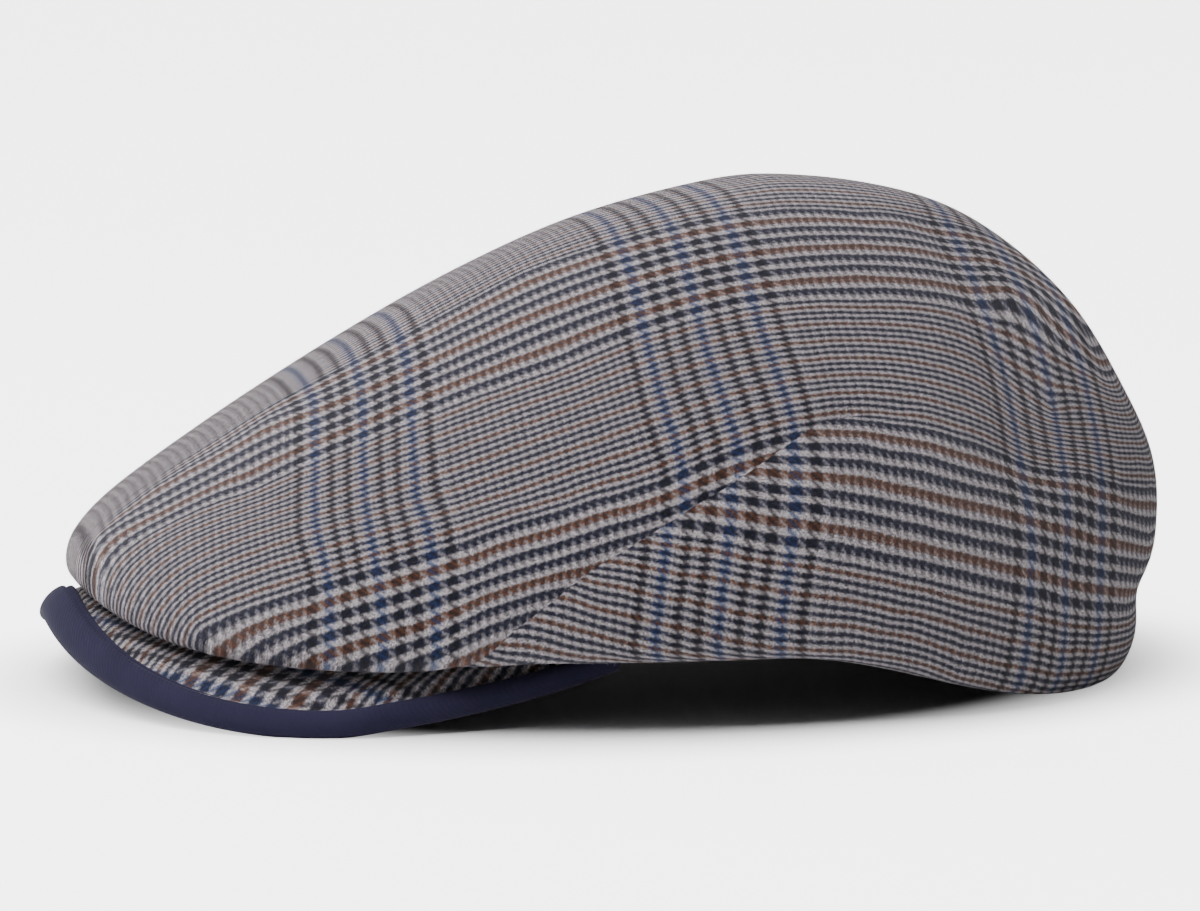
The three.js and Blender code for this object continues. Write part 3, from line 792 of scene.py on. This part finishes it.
def read_lines(top, side):
    """Places and thread numbers of the lines above and below the dart."""
    marks = [
        (cloth_place(pixel, below), thread) for lines, below in ((top, False), (side, True))
        for thread, pixels in lines.items() for pixel in pixels
    ]
    return np.array([place for place, _ in marks]), np.array([thread for _, thread in marks], float)


weft_places, weft_threads = read_lines(TOP_WEFT, SIDE_WEFT)
warp_places, warp_threads = read_lines(TOP_WARP, SIDE_WARP)
back_shares = np.append(MIDDLE_BACK, list(BACK_WEFT))
guides = np.concatenate([
    crown_seated(0 * MIDDLE_FRONT, MIDDLE_FRONT), crown_seated(0 * back_shares + math.pi, back_shares),
])
guides = np.concatenate([guides, np.zeros((len(guides), 1))], 1)
held = len(guides) - len(BACK_WEFT)
weft_slack = np.concatenate([
    np.full(len(weft_places), WEFT_SLACK), np.zeros(held), np.full(len(BACK_WEFT), WEFT_SLACK),
])
weft_places = np.concatenate([weft_places, guides])
weft_threads = np.concatenate([weft_threads, np.full(held, MIDDLE_WEFT), list(BACK_WEFT.values())])
warp_slack = np.full(len(warp_places), WARP_SLACK)

apex = crown_form(np.array([0.0]), np.array([1.0]))[0]
near_side = np.stack([np.abs(outer[..., 0]), outer[..., 1], outer[..., 2]], -1)
panels = []
for gap in (0 * s, dart_gap(turn)):
    at = np.concatenate([near_side, gap[..., None]], -1)
    at = np.concatenate([at.reshape(-1, 4), [[*apex, 0]]])
    panels.append(np.stack([
        spread(warp_places, warp_threads, at, warp_slack, True),
        spread(weft_places, weft_threads, at, weft_slack, False),
    ], -1))

# Round the hem's turn the threads keep the spacing that they have just above it
hem_steps = np.linalg.norm(np.diff(outer, axis=0), axis=-1)
arc = np.concatenate([np.zeros((1, COLUMNS)), np.cumsum(hem_steps, axis=0)])
start = (s < HEM_START).sum(0), np.arange(COLUMNS)
above = start[0] + HEM_ROWS, start[1]
below_threads = panels[1][:-1].reshape(*s.shape, 2)
rate = (below_threads[above] - below_threads[start]) / (arc[above] - arc[start])[:, None]
turned = below_threads[start] + rate * (arc - arc[start])[..., None]
use = smooth(dart_share, HEM_USE_START, HEM_USE_FULL) * (s < HEM_START)
panels[1][:-1] = blend(below_threads, turned, use[..., None]).reshape(-1, 2)

# Faces of the outside, then the hem's turn and the inside, which reuse the outside's threads
outer_rows = len(outer)
inner_rows = np.arange(0, outer_rows, INNER_STEP)
points = np.concatenate([
    outer.reshape(-1, 3), [apex], inner[inner_rows].reshape(-1, 3), [apex - UP * CLOTH],
])
column = np.arange(COLUMNS)
beside = (column + 1) % COLUMNS
top_point, inner_start = outer_rows * COLUMNS, outer_rows * COLUMNS + 1
top_row = (outer_rows - 1) * COLUMNS
inner_top_row = inner_start + (len(inner_rows) - 1) * COLUMNS
inner_top_point = inner_top_row + COLUMNS
outside = grid_faces(outer_rows, COLUMNS, wrap=True)
cap_faces = np.stack([top_row + column, top_row + beside, 0 * column + top_point], -1)
inside = grid_faces(len(inner_rows), COLUMNS, wrap=True)[:, ::-1] + inner_start
inner_cap = np.stack([inner_top_row + beside, inner_top_row + column, 0 * column + inner_top_point], -1)
hem = np.stack([inner_start + column, inner_start + beside, beside, column], -1)
source = np.concatenate([
    np.arange(top_point + 1), (inner_rows[:, None] * COLUMNS + column[None, :]).ravel(), [top_point],
])


def thread_corners(faces, columns, below):
    """UV of each corner of faces, each in one column of the turn, above or below the dart."""
    uv = np.where(below[:, None, None], panels[1][source[faces]], panels[0][source[faces]])
    uv[..., 1] += np.where(faces >= inner_start, HEM_THREADS, 0)
    far = (columns >= COLUMNS // 2)[:, None]
    uv[..., 1] = np.where(far, 2 * MIDDLE_WEFT - uv[..., 1], uv[..., 1])
    return uv.reshape(-1, 2)


def faces_below(rows, columns):
    """Whether faces in these rows and columns lie below the dart."""
    between = (np.abs(column_turn[columns]) + np.abs(column_turn[(columns + 1) % COLUMNS])) / 2
    return (rows < LOWER_ROWS) & (between / math.pi > DART[0, 0])


row_of, column_of = np.divmod(np.arange(len(outside)), COLUMNS)
inner_row_of, inner_column_of = np.divmod(np.arange(len(inside)), COLUMNS)
uv = np.concatenate([
    thread_corners(outside, column_of, faces_below(row_of, column_of)),
    thread_corners(cap_faces, column, column < 0),
    thread_corners(inside, inner_column_of, faces_below(inner_rows[inner_row_of], inner_column_of)),
    thread_corners(inner_cap, column, column < 0),
    thread_corners(hem, column, faces_below(0 * column, column)),
])
faces = [face for part in (outside, cap_faces, inside, inner_cap, hem) for face in part.tolist()]
crown = make_mesh("crown_cloth", points, faces, wool, uv)
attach(crown, "root")
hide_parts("crown")

# Loose wool fibres that stand out of the crown, more of them at the hem. Each is a closed spike
# with one bend, in the colour of the thread that it comes from. It starts inside the cloth, has a
# ring of three points there and at the bend, and ends in a tip.
FIBRES, FIBRE_LENGTH, FIBRE_RADIUS, BEND_SHARE, SPIKE_POINTS = 7200, 1.5, 0.032, 0.8, 7
HEM_FIBRE_ROWS, HEM_FIBRE_WEIGHT = 6, 3
SHORTEST, FIBRE_SUNK = 0.3, 0.1
RISE_TO_BEND, RISE_TO_TIP = (0.3, 1.6), (-0.2, 0.9)
chance = np.random.default_rng(7)
corners = points[outside]
face_out = np.cross(corners[:, 1] - corners[:, 0], corners[:, 3] - corners[:, 0])
weight = np.linalg.norm(face_out, axis=-1) * np.where(row_of < HEM_FIBRE_ROWS, HEM_FIBRE_WEIGHT, 1)
picked = chance.choice(len(outside), FIBRES, p=weight / weight.sum())
along_face, up_face = chance.random((2, FIBRES, 1))


def on_face(values):
    """Values at the picked places, from those at the four corners of their faces."""
    low = blend(values[:, 0], values[:, 1], along_face)
    high = blend(values[:, 3], values[:, 2], along_face)
    return blend(low, high, up_face)


root = on_face(corners[picked])
root_uv = on_face(uv[:4 * len(outside)].reshape(-1, 4, 2)[picked])
away = unit(face_out[picked])
lying = chance.normal(size=(FIBRES, 3))
lying = unit(lying - away * (lying * away).sum(-1, keepdims=True))
half_length = FIBRE_LENGTH * chance.uniform(SHORTEST, 1, (FIBRES, 1)) / 2
bend = root + unit(lying + away * chance.uniform(*RISE_TO_BEND, (FIBRES, 1))) * half_length
tip = bend + unit(lying + away * chance.uniform(*RISE_TO_TIP, (FIBRES, 1))) * half_length
beside = unit(np.cross(lying, away))
ring_turn = np.arange(3)[:, None] * 2 * math.pi / 3
ring = (away[:, None] * np.cos(ring_turn) + beside[:, None] * np.sin(ring_turn)) * FIBRE_RADIUS
spikes = np.concatenate([
    (root - away * FIBRE_SUNK)[:, None] + ring, bend[:, None] + ring * BEND_SHARE, tip[:, None],
], 1)
spikes[..., 2] = np.maximum(spikes[..., 2], 0)
starts = SPIKE_POINTS * np.arange(FIBRES)[:, None, None]
sides = (np.array([[0, 1, 4, 3], [1, 2, 5, 4], [2, 0, 3, 5]]) + starts).reshape(-1, 4)
ends = (np.array([[0, 2, 1], [3, 4, 6], [4, 5, 6], [5, 3, 6]]) + starts).reshape(-1, 3)
faces = sides.tolist() + ends.tolist()
fuzz_uv = corner_values(np.repeat(root_uv, SPIKE_POINTS, axis=0), faces)
fuzz = make_mesh("crown_fibres", spikes.reshape(-1, 3), faces, wool, fuzz_uv)
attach(fuzz, "root")
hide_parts("crown")
